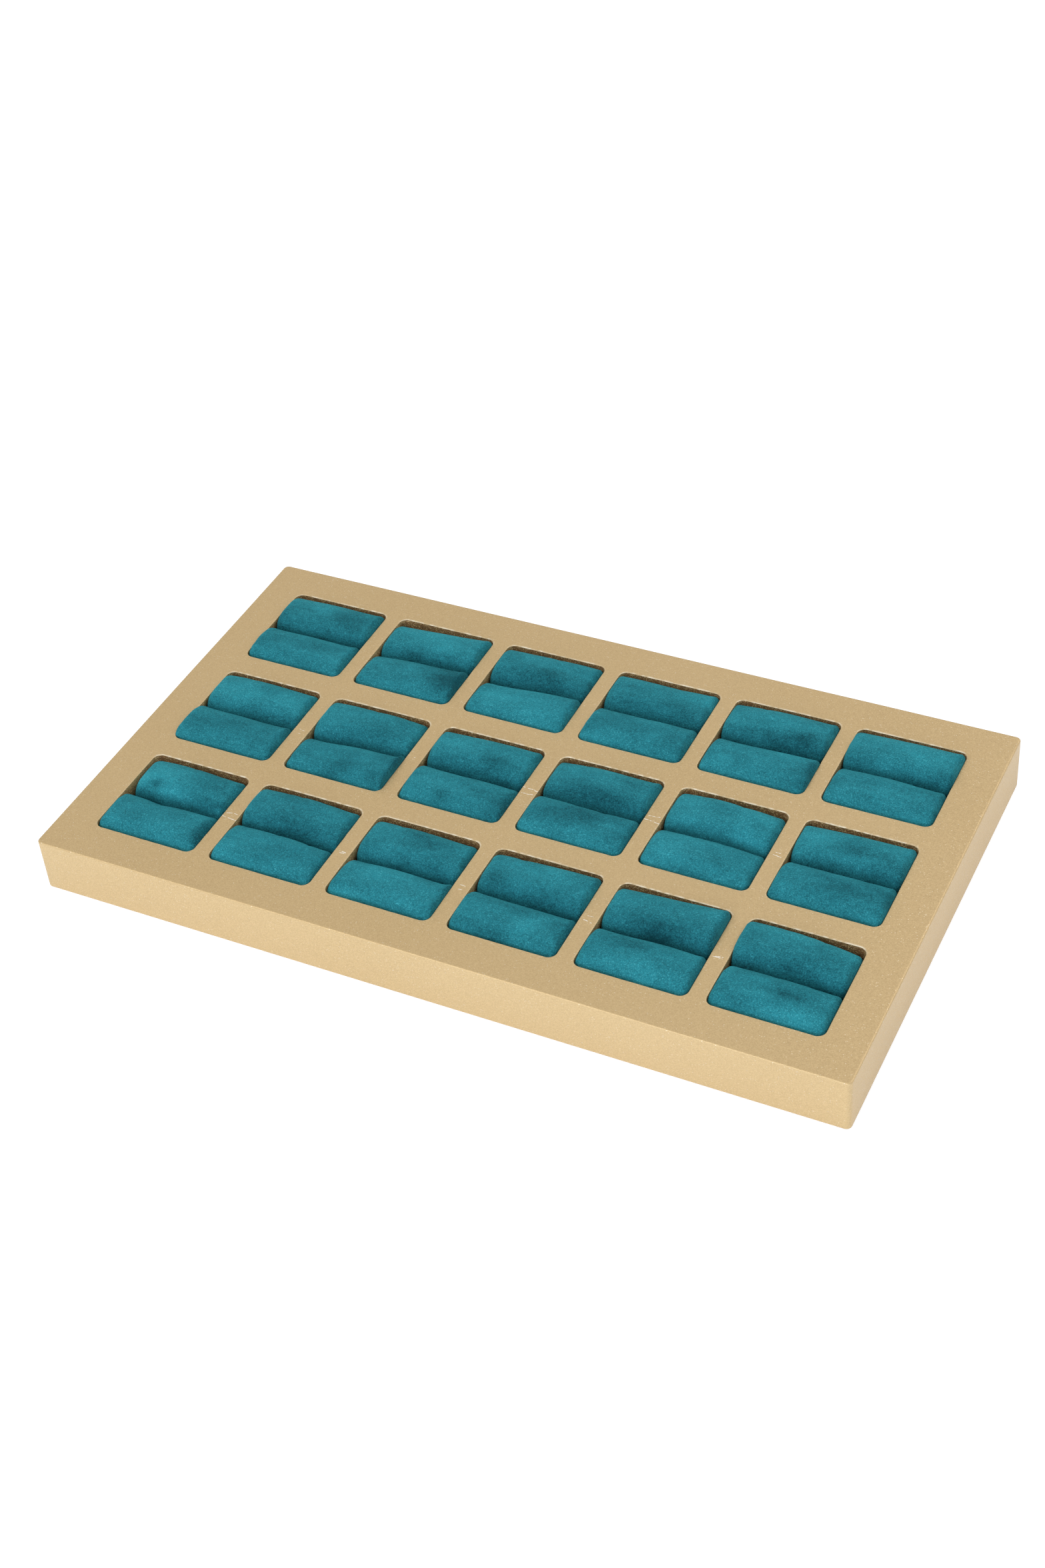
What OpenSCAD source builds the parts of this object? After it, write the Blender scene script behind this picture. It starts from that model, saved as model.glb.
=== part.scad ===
// Coin display tray: a routed panel with a grid of square windows. Each window holds two
// fabric-covered foam rolls, pressed side by side, and a coin stands in the slit between them.
// X runs along the long side, Y from the front edge to the back edge, and Z up.
// The origin is at the centre of the underside. Row 1 is at the back and column 1 at the left.

/* [Tray] */
// Length of the tray along X
tray_l = 300; // [294:1:340]
// Depth of the tray along Y
tray_d = 175; // [169:1:200]
// Height of the tray's frame
frame_h = 21; // [19.5:0.5:26]
// Radius of the frame's four upright corners
corner_r = 2; // [1:0.5:5]

/* [Windows] */
// Windows in each row
columns = 6; // [1:1:6]
// Rows of windows
rows = 3; // [1:1:3]
// Width of one window along X
window_w = 40; // [34:0.5:41]
// Depth of one window along Y
window_d = 41.5; // [39.5:0.5:43]
// Width of the web between two windows of a row
web_x = 6.2; // [4:0.1:7]
// Width of the web between two rows
web_y = 10.2; // [4:0.1:12]
// Radius that the router bit leaves in a window's corners
window_r = 3; // [2:0.5:5]

/* [Rolls] */
// How far the middle of a roll stands above the frame
crown_rise = 2.5; // [1:0.25:4]
// How far a roll's top falls from its middle to its ends
crown_fall = 1; // [0.25:0.25:2]
// Radius of a roll's two long upper shoulders
shoulder_r = 9.5; // [6:0.5:9.5]
// Radius of a roll's two long lower edges
heel_r = 8; // [2:0.5:9]
// Radius of the corners at a roll's two ends
end_r = 3; // [2:0.5:5]
// Thickness of the fabric sleeve round a roll
cover_t = 1; // [0.6:0.1:1.6]
// Gap left by the sleeve's two glued edges, under the roll
seam_gap = 0.5; // [0.2:0.1:1]
// Clearance between a window's walls and its rolls
roll_gap = 0.3; // [0.2:0.05:0.6]

/* [Base] */
// Thickness of the base board
board_t = 3; // [2:0.5:4]
// Thickness of the felt under the base board
felt_t = 1; // [0.5:0.25:2]
// Width of the frame's lip round the base board
lip = 5; // [4:0.5:6]
// Clearance round the base board inside the lip
board_gap = 0.25; // [0.1:0.05:0.5]
// Length of a base screw
screw_l = 12; // [8:1:14]
// Diameter of a base screw's shank
screw_d = 3; // [2:0.5:3]
// Diameter of a base screw's countersunk head
head_d = 5.6; // [4.5:0.1:6]

/* [Hidden] */
$fn = 48;
pitch_x = window_w + web_x;
pitch_y = window_d + web_y;
margin_x = (tray_l - columns * pitch_x + web_x) / 2;
margin_y = (tray_d - rows * pitch_y + web_y) / 2;

floor_z = felt_t + board_t;
pair_gap = 0.1;
roll_w = window_d / 2 - roll_gap - pair_gap / 2;
roll_l = window_w - 2 * roll_gap;
roll_h = frame_h + crown_rise - floor_z;
crown_r = (pow(roll_l / 2, 2) + pow(crown_fall, 2)) / (2 * crown_fall);
core_gap = 0.1;

screw_x = tray_l / 2 - (lip + margin_x) / 2;
screw_y = tray_d / 2 - (lip + margin_y) / 2;
head_rim = 0.4;
head_cone = (head_d - screw_d) / 2;
screw_play = 0.05;
tip_l = 3;

gold = [0.80, 0.70, 0.52];
board_brown = [0.45, 0.34, 0.22];
felt_black = [0.10, 0.10, 0.11];
zinc = [0.72, 0.72, 0.70];
teal = [0.17, 0.50, 0.53];
foam_grey = [0.78, 0.78, 0.76];

CELLS = [for (r = [1:rows], c = [1:columns]) [r, c]];

// The name of one cell's part, such as roll_back_r1c1
function part_name(part, cell) = str(part, "_r", cell[0], "c", cell[1]);

// The centre of one cell's window
function cell_centre(cell) =
    [(cell[1] - (columns + 1) / 2) * pitch_x, ((rows + 1) / 2 - cell[0]) * pitch_y, 0];

// A rectangle about the origin with round corners
module round_rect(w, d, r) {
    square([w - 2 * r, d], center = true);
    square([w, d - 2 * r], center = true);
    for (x = [-1, 1], y = [-1, 1])
        translate([x * (w / 2 - r), y * (d / 2 - r)]) circle(r);
}

// Copies its children to every place where a screw holds the base board
module at_screws() {
    for (x = [-1, 1], y = [-1, 0, 1]) translate([x * screw_x, y * screw_y, 0]) children();
    for (x = [-1, 1], y = [-1, 1]) translate([x * tray_l / 6, y * screw_y, 0]) children();
}

// One screw's outline as a solid, grown by play all round, with its head flat at Z = 0
module screw_shape(play) {
    cylinder(r = head_d / 2 + play, h = head_rim);
    translate([0, 0, head_rim]) cylinder(r1 = head_d / 2 + play, r2 = screw_d / 2 + play, h = head_cone);
    cylinder(r = screw_d / 2 + play, h = screw_l - tip_l);
    translate([0, 0, screw_l - tip_l]) cylinder(r1 = screw_d / 2 + play, r2 = play, h = tip_l);
}

// The frame: windows right through, and a rebate below for the base board and the felt
module tray_frame() {
    color(gold) difference() {
        linear_extrude(frame_h) difference() {
            round_rect(tray_l, tray_d, corner_r);
            for (cell = CELLS) translate(cell_centre(cell)) round_rect(window_w, window_d, window_r);
        }
        translate([0, 0, -1]) linear_extrude(floor_z + 1)
            round_rect(tray_l - 2 * lip, tray_d - 2 * lip, window_r);
        translate([0, 0, felt_t]) at_screws() screw_shape(screw_play);
    }
}

module base_board() {
    board_l = tray_l - 2 * (lip + board_gap);
    board_d = tray_d - 2 * (lip + board_gap);
    color(board_brown) translate([0, 0, felt_t]) difference() {
        linear_extrude(board_t) round_rect(board_l, board_d, window_r);
        at_screws() screw_shape(screw_play);
    }
}

module underside_felt() {
    felt_l = tray_l - 2 * (lip + board_gap);
    felt_d = tray_d - 2 * (lip + board_gap);
    color(felt_black) linear_extrude(felt_t) round_rect(felt_l, felt_d, window_r);
}

// Countersunk wood screws with a cross recess, driven up through the base board
module base_screws() {
    recess_l = head_d * 0.55;
    recess_w = 0.7;
    recess_h = 1.2;
    color(zinc) translate([0, 0, felt_t]) at_screws() difference() {
        screw_shape(0);
        for (turn = [0, 90]) rotate(turn)
            translate([-recess_l / 2, -recess_w / 2, -1]) cube([recess_l, recess_w, recess_h + 1]);
    }
}

// An outline with its lower edge on the X axis, wide radii above and small ones below
module upright_outline(w, h, top_r, bottom_r) {
    translate([-w / 2, bottom_r]) square([w, h - top_r - bottom_r]);
    translate([-w / 2 + bottom_r, 0]) square([w - 2 * bottom_r, bottom_r]);
    translate([-w / 2 + top_r, h - top_r]) square([w - 2 * top_r, top_r]);
    for (x = [-1, 1]) {
        translate([x * (w / 2 - top_r), h - top_r]) circle(top_r);
        translate([x * (w / 2 - bottom_r), bottom_r]) circle(bottom_r);
    }
}

// A roll lying along X with its underside at Z = 0, made smaller by skin all round
module roll_shape(skin) {
    w = roll_w - 2 * skin;
    l = roll_l - 2 * skin;
    h = roll_h - 2 * skin;
    translate([0, 0, skin]) intersection() {
        rotate([90, 0, 90]) linear_extrude(l, center = true)
            upright_outline(w, h, shoulder_r - skin, heel_r - skin);
        rotate([90, 0, 0]) linear_extrude(w, center = true)
            upright_outline(l, h, end_r - skin, 1);
        linear_extrude(h) round_rect(l, w, end_r - skin);
        translate([0, 0, h + skin - crown_r]) rotate([90, 0, 0])
            cylinder(r = crown_r - skin, h = w, center = true, $fn = 360);
    }
}

// The fabric sleeve of one roll, closed at both ends and glued along its underside
module roll_cover() {
    seam_l = roll_l - 2 * end_r;
    color(teal) difference() {
        roll_shape(0);
        roll_shape(cover_t);
        translate([-seam_l / 2, -seam_gap / 2, -1]) cube([seam_l, seam_gap, cover_t + 2]);
    }
}

// Copies its children to one roll of a cell: side is 1 for the back roll and -1 for the front roll
module at_roll(cell, side) {
    translate(cell_centre(cell) + [0, side * (roll_w + pair_gap) / 2, floor_z]) children();
}

// The two foam rods inside a cell's sleeves
module foam_cores(cell) {
    color(foam_grey) for (side = [-1, 1]) at_roll(cell, side) roll_shape(cover_t + core_gap);
}

tray_frame();
base_board();
base_screws();
underside_felt();
for (cell = CELLS) {
    at_roll(cell, 1) roll_cover();
    at_roll(cell, -1) roll_cover();
    foam_cores(cell);
}
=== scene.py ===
"""The looks of a coin display tray: a gold-painted panel with 18 windows and a pair of velvet rolls in each.

All lengths are in metres, in the frame of the CAD model: X along the tray, Y to the back and Z up.
Inside the roll builder, lengths are in millimetres, because a roll's shape is easier to read that way.
"""

import math

import bmesh
import bpy
import numpy as np
from mathutils import Matrix, Vector


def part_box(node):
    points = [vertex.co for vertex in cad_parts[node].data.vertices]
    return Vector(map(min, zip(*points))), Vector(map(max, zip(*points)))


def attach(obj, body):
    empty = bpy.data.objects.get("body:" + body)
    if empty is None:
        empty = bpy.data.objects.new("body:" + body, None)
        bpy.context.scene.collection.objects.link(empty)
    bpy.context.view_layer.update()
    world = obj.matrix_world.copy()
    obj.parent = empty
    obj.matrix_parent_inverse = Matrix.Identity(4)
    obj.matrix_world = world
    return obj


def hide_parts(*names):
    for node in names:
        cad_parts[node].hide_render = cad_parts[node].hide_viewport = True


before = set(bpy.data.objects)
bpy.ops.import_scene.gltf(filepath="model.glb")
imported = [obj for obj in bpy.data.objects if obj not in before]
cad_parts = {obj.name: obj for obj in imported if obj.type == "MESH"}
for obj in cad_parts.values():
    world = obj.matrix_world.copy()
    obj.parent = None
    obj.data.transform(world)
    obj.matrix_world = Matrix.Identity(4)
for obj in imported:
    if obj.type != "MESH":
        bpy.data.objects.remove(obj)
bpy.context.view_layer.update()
MM = 0.001

ROWS, COLUMNS = 3, 6
CELLS = [(row, column) for row in range(1, ROWS + 1) for column in range(1, COLUMNS + 1)]

# The frame panel. Its outer size and its top come from the CAD node. LIP is the rim round the base board,
# the EASE values are the radii of the rounded edges, and SUPPORT is a narrow flat strip beside each of them.
FRAME_LOW, FRAME_HIGH = (Vector(corner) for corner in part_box("tray_frame"))
BOARD_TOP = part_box("base_board")[1][2]
TOP = FRAME_HIGH.z
ROLL_GAP = 0.3 * MM
WINDOW_RADIUS = 3 * MM
CORNER_RADIUS = 2 * MM
LIP = 5 * MM
TOP_EASE = 0.6 * MM
WINDOW_EASE = 0.22 * MM
FOOT_EASE = 0.4 * MM
SUPPORT = 0.15 * MM

# The camera, at the photograph's viewing angle
CAMERA_PLACE = Vector((0.304142, -0.545254, 0.562499))
CAMERA_AIM = Vector((-0.003779, 0.001667, 0.021))
CAMERA_ROLL = math.radians(-5.45)
CAMERA_LENS = 54.219


# ---------------------------------------------------------------- shared mesh helpers


def make_object(name, mesh, materials):
    piece = bpy.data.objects.new(name, mesh)
    bpy.context.scene.collection.objects.link(piece)
    for material in materials:
        mesh.materials.append(material)
    return piece


def smooth_noise(seed, count, waves, strength):
    """A closed line of count values that rolls smoothly round, from a few sine waves of random phase."""
    random = np.random.default_rng(seed)
    turn = np.linspace(0, 2 * math.pi, count, endpoint=False)
    values = np.zeros(count)
    for wave in waves:
        values += random.normal() * np.sin(wave * turn + random.uniform(0, 2 * math.pi))
    return strength * values / math.sqrt(len(waves))


# ---------------------------------------------------------------- node helpers


class Nodes:
    """Short names for building one material's node tree."""

    def __init__(self, name):
        self.material = bpy.data.materials.new(name)
        self.material.use_nodes = True
        self.tree = self.material.node_tree
        self.tree.nodes.clear()
        self.output = self.add("ShaderNodeOutputMaterial")
        self.shader = self.add("ShaderNodeBsdfPrincipled")
        self.link(self.shader.outputs["BSDF"], self.output.inputs["Surface"])

    def add(self, kind, **settings):
        node = self.tree.nodes.new(kind)
        for key, value in settings.items():
            setattr(node, key, value)
        return node

    def link(self, source, target):
        self.tree.links.new(source, target)

    def fill(self, socket, value):
        if isinstance(value, bpy.types.NodeSocket):
            self.link(value, socket)
        else:
            socket.default_value = value

    def place(self):
        return self.add("ShaderNodeTexCoord").outputs["Object"]

    def stretched(self, scale):
        node = self.add("ShaderNodeMapping")
        self.link(self.place(), node.inputs["Vector"])
        node.inputs["Scale"].default_value = scale
        return node.outputs["Vector"]

    def noise(self, scale, detail=2.0, roughness=0.5, vector=None, distortion=0.0):
        node = self.add("ShaderNodeTexNoise")
        self.link(vector or self.place(), node.inputs["Vector"])
        node.inputs["Scale"].default_value = scale
        node.inputs["Detail"].default_value = detail
        node.inputs["Roughness"].default_value = roughness
        node.inputs["Distortion"].default_value = distortion
        return node.outputs["Fac"]

    def cells(self, scale, output, vector=None):
        node = self.add("ShaderNodeTexVoronoi")
        self.link(vector or self.place(), node.inputs["Vector"])
        node.inputs["Scale"].default_value = scale
        return node.outputs[output]

    def math(self, operation, a, b=0.0):
        node = self.add("ShaderNodeMath", operation=operation)
        self.fill(node.inputs[0], a)
        self.fill(node.inputs[1], b)
        return node.outputs[0]

    def remap(self, value, low, high, new_low=0.0, new_high=1.0):
        node = self.add("ShaderNodeMapRange")
        self.fill(node.inputs["Value"], value)
        node.inputs["From Min"].default_value = low
        node.inputs["From Max"].default_value = high
        node.inputs["To Min"].default_value = new_low
        node.inputs["To Max"].default_value = new_high
        return node.outputs["Result"]

    def mix(self, factor, a, b):
        node = self.add("ShaderNodeMix", data_type="RGBA")
        self.fill(node.inputs["Factor"], factor)
        self.fill(node.inputs["A"], a)
        self.fill(node.inputs["B"], b)
        return node.outputs["Result"]

    def bump(self, height, distance, strength=1.0, normal=None):
        node = self.add("ShaderNodeBump")
        self.link(height, node.inputs["Height"])
        node.inputs["Distance"].default_value = distance
        node.inputs["Strength"].default_value = strength
        if normal:
            self.link(normal, node.inputs["Normal"])
        return node.outputs["Normal"]

    def axis(self, name, vector=None):
        """One axis of a vector, or of the place on the object."""
        node = self.add("ShaderNodeSeparateXYZ")
        self.link(vector or self.place(), node.inputs["Vector"])
        return node.outputs[name]

    def set(self, **sockets):
        for name, value in sockets.items():
            self.fill(self.shader.inputs[name.replace("_", " ")], value)


def rgb(red, green, blue):
    return (red, green, blue, 1.0)


# ---------------------------------------------------------------- materials


def gold_paint():
    """Sprayed champagne gold: fine metal flakes that each lean their own way, with a few flakes painted
    bright as glints.

    The edge attribute is 1 where an edge is eased. There the colour is lifted as a painted highlight,
    strongest along the back edges of the windows, where the light catches them.
    """
    n = Nodes("gold_paint")
    flake = n.cells(2600, "Color")
    lean = n.add("ShaderNodeVectorMath", operation="SUBTRACT")
    n.link(flake, lean.inputs[0])
    lean.inputs[1].default_value = (0.5, 0.5, 0.5)
    scaled = n.add("ShaderNodeVectorMath", operation="SCALE")
    n.link(lean.outputs[0], scaled.inputs[0])
    scaled.inputs["Scale"].default_value = 0.16
    grain = n.noise(2300, 3, 0.65)
    peel = n.noise(420, 3, 0.5)
    relief = n.bump(n.math("ADD", n.math("MULTIPLY", grain, 0.6), n.math("MULTIPLY", peel, 0.4)), 0.0001, 0.5)
    added = n.add("ShaderNodeVectorMath", operation="ADD")
    n.link(relief, added.inputs[0])
    n.link(scaled.outputs[0], added.inputs[1])
    unit = n.add("ShaderNodeVectorMath", operation="NORMALIZE")
    n.link(added.outputs[0], unit.inputs[0])

    # Painted glint: a few single flakes are painted near white, as if they caught the light.
    chosen = n.remap(n.axis("X", flake), 0.965, 0.97)
    core = n.remap(n.cells(2600, "Distance"), 0.45, 0.25)
    spark = n.math("MULTIPLY", chosen, core)
    base = n.mix(n.remap(grain, 0.34, 0.66), rgb(0.500, 0.345, 0.162), rgb(0.610, 0.440, 0.220))
    cloud = n.remap(n.noise(14, 2, 0.5), 0.35, 0.65)
    base = n.mix(n.math("MULTIPLY", cloud, 0.12), base, rgb(0.66, 0.49, 0.27))
    # Painted highlight: pale colour along the eased edges, mostly on the windows' back edges.
    edge = n.add("ShaderNodeAttribute", attribute_name="edge").outputs["Fac"]
    edge_highlight = n.math("MULTIPLY", edge, n.remap(peel, 0.4, 0.6, 0.1, 0.8))
    base = n.mix(edge_highlight, base, rgb(0.86, 0.76, 0.58))
    base = n.mix(n.math("MULTIPLY", scratches(n), 0.9), base, rgb(0.97, 0.92, 0.82))
    base = n.mix(n.math("MULTIPLY", spark, 0.55), base, rgb(1.0, 0.90, 0.72))
    n.set(Base_Color=base, Metallic=0.3, Roughness=n.remap(spark, 0, 1, 0.44, 0.25), Normal=unit.outputs[0])
    n.shader.inputs["Specular IOR Level"].default_value = 0.45
    return n.material


def scratches(n):
    """Pale hairline scuffs across the webs between two windows, about level with the line between the rolls.

    Each scuff has its own place and length from white noise. They are on the two front rows only.
    """
    pitch_x, pitch_y = window_pitch()
    first_x = FRAME_LOW.x + (FRAME_HIGH.x - FRAME_LOW.x) / 2
    first_y = FRAME_LOW.y + (FRAME_HIGH.y - FRAME_LOW.y) / 2
    x = n.math("DIVIDE", n.math("SUBTRACT", n.axis("X"), first_x), pitch_x)
    y = n.math("DIVIDE", n.math("SUBTRACT", n.axis("Y"), first_y), pitch_y)
    web, row = n.math("ROUND", x), n.math("ROUND", y)
    which = n.add("ShaderNodeCombineXYZ")
    n.link(web, which.inputs["X"])
    n.link(row, which.inputs["Y"])
    luck = n.add("ShaderNodeTexWhiteNoise", noise_dimensions="3D")
    n.link(which.outputs[0], luck.inputs["Vector"])
    luck = luck.outputs["Color"]
    off_x = n.math("MULTIPLY", n.math("SUBTRACT", x, web), pitch_x / MM)
    off_y = n.math("MULTIPLY", n.math("SUBTRACT", y, row), pitch_y / MM)
    wobble = n.remap(n.noise(300, 2), 0.3, 0.7, -0.25, 0.25)
    marks = 0.0
    for axis, spread, slope, longest in (("X", 2.0, 0.12, 3.3), ("Y", 6.0, -0.05, 2.2)):
        place = n.math("MULTIPLY", n.math("SUBTRACT", n.axis(axis, luck), 0.5), spread)
        level = n.math("ADD", n.math("ADD", off_y, wobble), n.math("MULTIPLY", off_x, slope))
        line = n.remap(n.math("ABSOLUTE", n.math("SUBTRACT", level, place)), 0.17, 0.07)
        length = n.remap(n.axis("Z", luck), 0.15, 0.8, 0.0, longest)
        line = n.math("MULTIPLY", line, n.math("GREATER_THAN", length, n.math("ABSOLUTE", off_x)))
        marks = n.math("MAXIMUM", marks, line)
    on_front_rows = n.math("LESS_THAN", row, 0.5)
    between_windows = n.math("LESS_THAN", n.math("ABSOLUTE", web), COLUMNS / 2 - 0.5)
    marks = n.math("MULTIPLY", marks, n.math("MULTIPLY", on_front_rows, between_windows))
    return n.math("MULTIPLY", marks, n.remap(n.noise(1100, 2), 0.40, 0.52))


def routed_wall():
    """The routed board inside a window: rough brown fibre under an uneven gold overspray, with gold specks.

    The gold is thinner on the walls that face the front, and it thins towards the bottom as painted shade
    deeper in the window.
    """
    n = Nodes("routed_wall")
    fibre = n.noise(1300, 4, 0.7)
    blotch = n.noise(300, 3, 0.6)
    facing = n.add("ShaderNodeTexCoord").outputs["Normal"]
    cover_by_facing = n.remap(n.axis("Y", facing), -0.9, -0.3, 0.12, 1.0)
    # Painted shade: less gold lower down, as shade deepens towards the bottom of the window.
    height = n.remap(n.axis("Z"), TOP - 9 * MM, TOP - 0.5 * MM)
    gold_cover_and_shade = n.math("ADD", n.math("MULTIPLY", height, 0.4), n.remap(blotch, 0.35, 0.7, 0.0, 0.6))
    gold_cover_and_shade = n.math("MULTIPLY", gold_cover_and_shade, cover_by_facing)
    base = n.mix(fibre, rgb(0.060, 0.024, 0.007), rgb(0.330, 0.150, 0.042))
    base = n.mix(n.math("MULTIPLY", gold_cover_and_shade, 0.85), base, rgb(0.460, 0.350, 0.150))
    patch = n.remap(n.noise(700, 2, 0.6), 0.36, 0.52)
    spark = n.math("MULTIPLY", patch, n.remap(n.noise(2000, 3, 0.75), 0.52, 0.60))
    base = n.mix(n.math("MULTIPLY", spark, 0.85), base, rgb(1.00, 0.68, 0.33))
    n.set(Base_Color=base, Metallic=n.math("MULTIPLY", spark, 0.3), Roughness=n.remap(spark, 0, 1, 0.8, 0.45))
    n.set(Normal=n.bump(fibre, 0.0004, 0.8))
    return n.material


def raw_board():
    """Unpainted board edges and the rebate, where spray only dusts the fibre."""
    n = Nodes("raw_board")
    fibre = n.noise(1300, 4, 0.7)
    dust = n.remap(n.noise(90, 3, 0.6), 0.45, 0.7)
    base = n.mix(fibre, rgb(0.16, 0.10, 0.05), rgb(0.30, 0.20, 0.11))
    base = n.mix(n.math("MULTIPLY", dust, 0.5), base, rgb(0.45, 0.34, 0.18))
    n.set(Base_Color=base, Roughness=0.8, Normal=n.bump(fibre, 0.0002, 0.7))
    return n.material


def hardboard():
    """Pressed brown fibreboard, smooth on its face, with short darker fibres."""
    n = Nodes("hardboard")
    fibre = n.noise(900, 5, 0.7, n.stretched((1, 3, 1)))
    fleck = n.remap(n.noise(350, 3, 0.6), 0.55, 0.7)
    base = n.mix(fibre, rgb(0.14, 0.075, 0.035), rgb(0.28, 0.16, 0.08))
    base = n.mix(n.math("MULTIPLY", fleck, 0.5), base, rgb(0.07, 0.04, 0.02))
    n.set(Base_Color=base, Roughness=n.remap(fibre, 0.3, 0.7, 0.5, 0.7), Normal=n.bump(fibre, 0.0001, 0.6))
    return n.material


def black_felt():
    """Pressed wool felt with loose fibres."""
    n = Nodes("black_felt")
    fibre = n.noise(1800, 5, 0.75, distortion=1.5)
    clump = n.noise(240, 3, 0.6)
    base = n.mix(fibre, rgb(0.006, 0.006, 0.007), rgb(0.035, 0.035, 0.038))
    base = n.mix(n.remap(clump, 0.4, 0.7, 0, 0.35), base, rgb(0.05, 0.05, 0.052))
    n.set(Base_Color=base, Roughness=0.95, Normal=n.bump(fibre, 0.0003, 0.8))
    n.shader.inputs["Sheen Weight"].default_value = 0.3
    n.shader.inputs["Sheen Roughness"].default_value = 0.5
    return n.material


def zinc_screw():
    """Bright zinc plating with a faint mottle and fine turning marks."""
    n = Nodes("zinc_screw")
    mottle = n.noise(700, 3, 0.6)
    base = n.mix(mottle, rgb(0.50, 0.50, 0.47), rgb(0.72, 0.72, 0.70))
    n.set(Base_Color=base, Metallic=1.0, Roughness=n.remap(mottle, 0.3, 0.7, 0.25, 0.42))
    n.set(Normal=n.bump(n.noise(2500, 2, 0.5, n.stretched((1, 1, 6))), 0.00004, 0.5))
    return n.material


def grey_foam():
    """Soft polyurethane foam with open pores."""
    n = Nodes("grey_foam")
    pore = n.cells(1100, "Distance")
    base = n.mix(n.remap(pore, 0.1, 0.6), rgb(0.62, 0.62, 0.59), rgb(0.36, 0.36, 0.34))
    n.set(Base_Color=base, Roughness=0.95, Normal=n.bump(pore, 0.0003, 0.8))
    return n.material


def teal_velvet():
    """Short-pile velvet, with painted glints where the light catches the pile.

    The nap attribute holds how the pile is brushed, together with painted shade and painted light, from about
    -1 dark to 1 light.
    """
    n = Nodes("teal_velvet")
    nap_and_painted_light = n.add("ShaderNodeAttribute", attribute_name="nap_and_painted_light").outputs["Fac"]
    grain = n.noise(2000, 3, 0.7)
    tuft = n.noise(640, 2, 0.55, distortion=0.4)
    brushed = n.noise(150, 3, 0.55, n.stretched((0.45, 1, 1)), 0.6)
    # The pile's own tone, plus the painted shade and light that the nap attribute carries.
    tone_and_painted_light = n.math("ADD", n.math("MULTIPLY", nap_and_painted_light, 0.44), n.remap(grain, 0.3, 0.7, -0.26, 0.26))
    tone_and_painted_light = n.math("ADD", tone_and_painted_light, n.remap(tuft, 0.3, 0.7, -0.08, 0.08))
    tone_and_painted_light = n.math("ADD", tone_and_painted_light, n.remap(brushed, 0.3, 0.7, -0.12, 0.12))
    tone_and_painted_light = n.math("ADD", tone_and_painted_light, 0.54)
    # Painted glint: bright specks in the colour, stronger where the velvet is lighter.
    glint_spots = n.remap(n.noise(2100, 3, 0.65), 0.54, 0.64)
    glint = n.math("MULTIPLY", glint_spots, n.remap(tone_and_painted_light, 0.3, 0.8, 0.08, 0.46))
    base = n.mix(tone_and_painted_light, rgb(0.003, 0.056, 0.072), rgb(0.026, 0.290, 0.350))
    base = n.mix(glint, base, rgb(0.10, 0.54, 0.62))
    pile = n.math("ADD", n.math("MULTIPLY", grain, 0.65), n.math("MULTIPLY", tuft, 0.35))
    n.set(Base_Color=base, Roughness=n.remap(tone_and_painted_light, 0, 1, 0.95, 0.75), Normal=n.bump(pile, 0.0007, 0.9))
    n.shader.inputs["Specular IOR Level"].default_value = 0.12
    n.shader.inputs["Sheen Weight"].default_value = 0.4
    n.shader.inputs["Sheen Roughness"].default_value = 0.35
    n.shader.inputs["Sheen Tint"].default_value = rgb(0.10, 0.70, 0.80)
    return n.material


def floor_white():
    n = Nodes("floor_white")
    n.set(Base_Color=n.mix(n.noise(3, 2), rgb(0.90, 0.90, 0.90), rgb(0.92, 0.92, 0.92)), Roughness=0.7)
    n.shader.inputs["Emission Color"].default_value = rgb(0.86, 0.97, 1.12)
    n.shader.inputs["Emission Strength"].default_value = 0.3
    return n.material


# ---------------------------------------------------------------- the frame panel


class Outline:
    """A rounded rectangle: anticlockwise points with outward normals, and rings of vertices from them."""

    ARC_STEPS = 7

    def __init__(self, low, high, radius, step):
        self.points, self.normals = [], []
        centre_x, centre_y = (low[0] + high[0]) / 2, (low[1] + high[1]) / 2
        half_x, half_y = (high[0] - low[0]) / 2, (high[1] - low[1]) / 2
        for quarter in range(4):
            start = quarter * math.pi / 2
            sign_x, sign_y = ((1, 1), (-1, 1), (-1, -1), (1, -1))[quarter]
            corner = (centre_x + sign_x * (half_x - radius), centre_y + sign_y * (half_y - radius))
            for i in range(self.ARC_STEPS + 1):
                turn = start + i * math.pi / 2 / self.ARC_STEPS
                normal = (math.cos(turn), math.sin(turn))
                self.points.append((corner[0] + radius * normal[0], corner[1] + radius * normal[1]))
                self.normals.append(normal)
            side = 2 * ((half_x, half_y)[quarter % 2] - radius)
            pieces = max(1, round(side / step))
            along = (-math.sin(start + math.pi / 2), math.cos(start + math.pi / 2))
            first = self.points[-1]
            for i in range(1, pieces):
                x = first[0] + along[0] * side * i / pieces
                y = first[1] + along[1] * side * i / pieces
                self.points.append((x, y))
                self.normals.append(self.normals[-1])

    def ring(self, mesh, outward, z, edge=0.0):
        """A ring of vertices moved outward from the outline, by one amount or by one for each point.

        The edge value is a painted highlight. It fades where the outline doesn't look to the back, so that it
        shows mostly on the edges that catch the light.
        """
        shift = np.broadcast_to(outward, len(self.points))
        level = np.broadcast_to(z, len(self.points))
        # The edge layer holds a painted highlight, strongest where the outline looks to the back.
        edge_highlight_layer = mesh.verts.layers.float["edge"]
        made = []
        for point, normal, out, height in zip(self.points, self.normals, shift, level):
            vert = mesh.verts.new((point[0] + normal[0] * out, point[1] + normal[1] * out, height))
            vert[edge_highlight_layer] = edge * max(0.1, normal[1])
            made.append(vert)
        return made


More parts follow.
